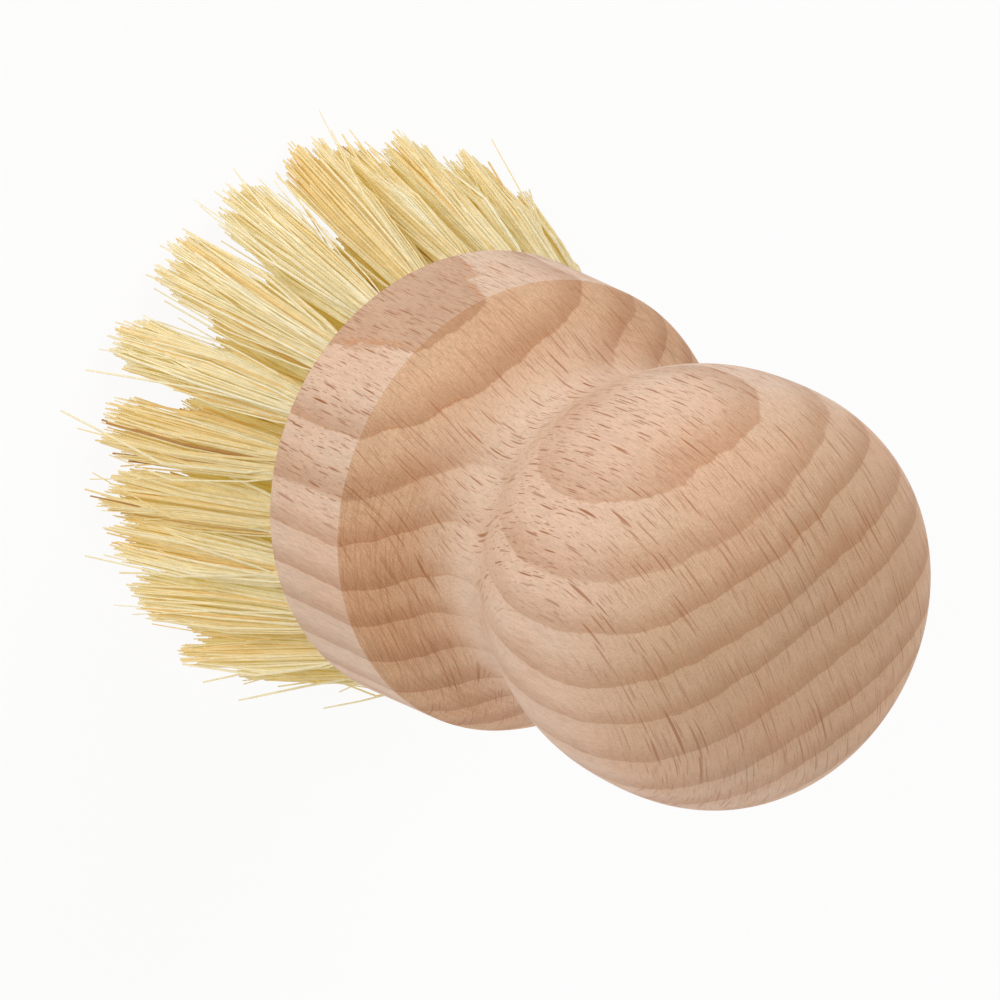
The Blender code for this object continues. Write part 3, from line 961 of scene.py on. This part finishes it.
def mesh_of(name, corners, *face_sets):
    """A mesh from whole arrays: corners as rows, and sets of faces with equally many corners."""
    mesh = bpy.data.meshes.new(name)
    mesh.vertices.add(len(corners))
    mesh.vertices.foreach_set("co", corners.ravel())
    loops = np.concatenate([faces.ravel() for faces in face_sets])
    lengths = np.concatenate([np.full(len(faces), faces.shape[1]) for faces in face_sets])
    mesh.loops.add(len(loops))
    mesh.loops.foreach_set("vertex_index", loops)
    mesh.polygons.add(len(lengths))
    mesh.polygons.foreach_set("loop_start", np.cumsum(lengths) - lengths)
    mesh.update(calc_edges=True)
    return mesh


def tuft_frame(name, sizes):
    """A tuft's mouth, its ways along the anchor, across it and out, and its way round the ring."""
    mouth, tip = tuft_axis(name)
    out = (tip - mouth).normalized()
    round_ring = Vector((-mouth.y, mouth.x, 0.0)).normalized()
    turn = Matrix.Rotation(sizes.anchor_slant, 3, out)
    axes = (turn @ round_ring, turn @ out.cross(round_ring), out)
    return mouth, [np.array(axis) for axis in axes], round_ring


def tuft_mesh(name, count, rng, sizes, materials):
    """One tuft: fibres folded in two round their anchor, both ends of each in the tuft."""
    mouth, axes, round_ring = tuft_frame(name, sizes)
    radius_and_turn = rng.random((sizes.locks, 2)) * (1.0, math.tau)
    locks = np.array([(math.sqrt(r) * math.cos(a), math.sqrt(r) * math.sin(a))
                      for r, a in radius_and_turn])
    spread = rng.uniform(*SPREAD_RANGE) * (1.0 if name in OUTER_LEANS else sizes.inner_spread)
    chance = rng.uniform(-sizes.drift, sizes.drift, 2)
    outward, sidelong = OUTER_LEANS.get(name, chance)
    from_axis = Vector((mouth.x, mouth.y, 0.0)).normalized()
    lean = np.array(from_axis * outward + round_ring * sidelong)
    mouth = np.array(mouth)
    tuft = (mouth, locks, spread, (lean @ axes[1], lean @ axes[0]))
    lock_tone = rng.normal(0.0, LOCK_TONE_SPREAD, len(locks))
    first, second = (half_tuft(rng, side, count, tuft, axes, sizes) for side in (-1.0, 1.0))
    path = np.concatenate((first[0][:, ::-1], second[0]), axis=1)
    run = np.concatenate((first[1][:, ::-1], second[1]), axis=1)
    usual = USUAL_TONE + rng.normal(0.0, TUFT_TONE_SPREAD)
    tone = usual + (lock_tone[first[2]] + lock_tone[second[2]]) / 2
    tone = tone + rng.normal(0.0, FIBRE_TONE_SPREAD, count)
    tone += (rng.random(count) < BROWN_SHARE) * rng.uniform(*BROWNER, count)
    thick = sizes.thickness / 2 * rng.uniform(*THICKNESS_RANGE, count)
    radii = thick[:, None] * (1.0 - TAPER * np.clip(run, 0.0, 1.0) ** 2)
    corners, walls, ends = tubes(path, radii, axes[0])
    wire, wire_faces = anchor_box(mouth, axes, sizes)
    wire_faces += len(corners)
    mesh = mesh_of(name + "_fibres", np.vstack((corners, wire)), walls, ends, wire_faces)
    is_wire = np.arange(len(mesh.polygons)) >= len(walls) + len(ends)
    mesh.polygons.foreach_set("material_index", is_wire)
    for attribute, values in (
        ("tone", np.repeat(tone, path.shape[1] * FIBRE_SIDES)),
        ("run", np.repeat(run.ravel(), FIBRE_SIDES)),
    ):
        layer = mesh.attributes.new(attribute, "FLOAT", "POINT")
        values = np.concatenate((values.clip(0.0, 1.0), np.zeros(len(wire))))
        layer.data.foreach_set("value", values)
    for material in materials:
        mesh.materials.append(material)
    mesh.shade_flat()
    return mesh


class DISHBRUSH_OT_tufts(bpy.types.Operator):
    """Fill every drilled hole with a tuft of fibres folded round its anchor"""

    bl_idname = "dish_brush.tufts"
    bl_label = "Tufts"

    def execute(self, context):
        sizes = settings("tufts")
        rng = np.random.default_rng(sizes.seed)
        materials = (plant_fibre(), anchor_wire())
        for name in TUFT_NODES:
            count = sizes.outer_fibres if name in OUTER_LEANS else sizes.inner_fibres
            link(tuft_mesh(name, count, rng, sizes, materials), "fibre", name)
        return {"FINISHED"}


def add_lamp(name, power, towards, studio):
    """A square soft lamp that stands off in one direction and faces the brush."""
    light = bpy.data.lights.new(name, "AREA")
    light.energy = power
    light.color = studio.lamp_colour
    light.size = studio.lamp_size
    lamp = placed(name, light)
    away = Vector(towards).normalized()
    lamp.location = away * studio.lamp_distance
    lamp.rotation_euler = away.to_track_quat("Z", "Y").to_euler()


def add_world(strength, colour):
    """Even light from all round, and plain white where the camera looks past the floor."""
    world = bpy.data.worlds.new("studio")
    world.use_nodes = True
    graph = Graph(world.node_tree)
    sky = world.node_tree.nodes["Background"].inputs
    seen = seen_share(graph)
    graph.fill(sky, {
        "Strength": graph.swing(seen, 1.0 - strength, strength),
        "Color": graph.blend(seen, opaque(colour), WHITE),
    })
    bpy.context.scene.world = world


def add_floor(radius):
    """A round floor in the plane of the trimmed ends."""
    sides = 64
    turns = np.arange(sides) * math.tau / sides
    rim = np.column_stack((radius * np.cos(turns), radius * np.sin(turns), np.zeros(sides)))
    mesh = bpy.data.meshes.new("studio_floor")
    mesh.from_pydata(rim.tolist(), [], [tuple(range(sides))])
    mesh.materials.append(studio_floor())
    floor = placed("studio_floor", mesh)


def add_camera(studio):
    """The camera, turned about its own view so that the brush lies as it does in the picture."""
    camera = placed("camera", bpy.data.cameras.new("camera"))
    camera.data.lens = studio.focal_length
    camera.data.sensor_width = 36.0
    camera.data.clip_start = 0.01
    place, aim = Vector(studio.camera_place), Vector(studio.camera_aim)
    look = (aim - place).to_track_quat("-Z", "Y").to_matrix()
    turn = (look @ Matrix.Rotation(studio.camera_roll, 3, "Z")).to_4x4()
    camera.matrix_world = Matrix.Translation(place) @ turn
    bpy.context.scene.camera = camera


class DISHBRUSH_OT_studio(bpy.types.Operator):
    """Add the floor, the lamps, the even light and the camera"""

    bl_idname = "dish_brush.studio"
    bl_label = "Studio"

    def execute(self, context):
        studio = settings("studio")
        context.scene.view_settings.view_transform = "Standard"
        add_camera(studio)
        add_world(studio.surround, studio.surround_colour)
        add_lamp("key_lamp", studio.key_power, studio.key_direction, studio)
        add_lamp("side_lamp", studio.side_power, studio.side_direction, studio)
        add_lamp("back_lamp", studio.back_power, studio.back_direction, studio)
        add_floor(studio.floor_radius)
        return {"FINISHED"}


class DISHBRUSH_PT_panel(bpy.types.Panel):
    """Lists what the add-on builds"""

    bl_label = "Dish Brush"
    bl_idname = "DISHBRUSH_PT_panel"
    bl_space_type = "VIEW_3D"
    bl_region_type = "UI"
    bl_category = "Dish Brush"

    def draw(self, context):
        for operator in OPERATORS:
            self.layout.operator(operator.bl_idname)


OPERATORS = (DISHBRUSH_OT_block, DISHBRUSH_OT_tufts, DISHBRUSH_OT_studio)
GROUPS = {
    "block": BlockSizes,
    "tufts": TuftSettings,
    "beech": BeechFigure,
    "studio": StudioSettings,
}


def register():
    for group in GROUPS.values():
        bpy.utils.register_class(group)
    for name, group in GROUPS.items():
        setattr(bpy.types.Scene, "dish_brush_" + name, PointerProperty(type=group))
    for operator in OPERATORS:
        bpy.utils.register_class(operator)
    bpy.utils.register_class(DISHBRUSH_PT_panel)


def unregister():
    bpy.utils.unregister_class(DISHBRUSH_PT_panel)
    for operator in reversed(OPERATORS):
        bpy.utils.unregister_class(operator)
    for name in GROUPS:
        delattr(bpy.types.Scene, "dish_brush_" + name)
    for group in reversed(GROUPS.values()):
        bpy.utils.unregister_class(group)


def main():
    register()
    bpy.ops.dish_brush.studio()
    bpy.ops.dish_brush.block()
    bpy.ops.dish_brush.tufts()


if __name__ == "__main__":
    main()
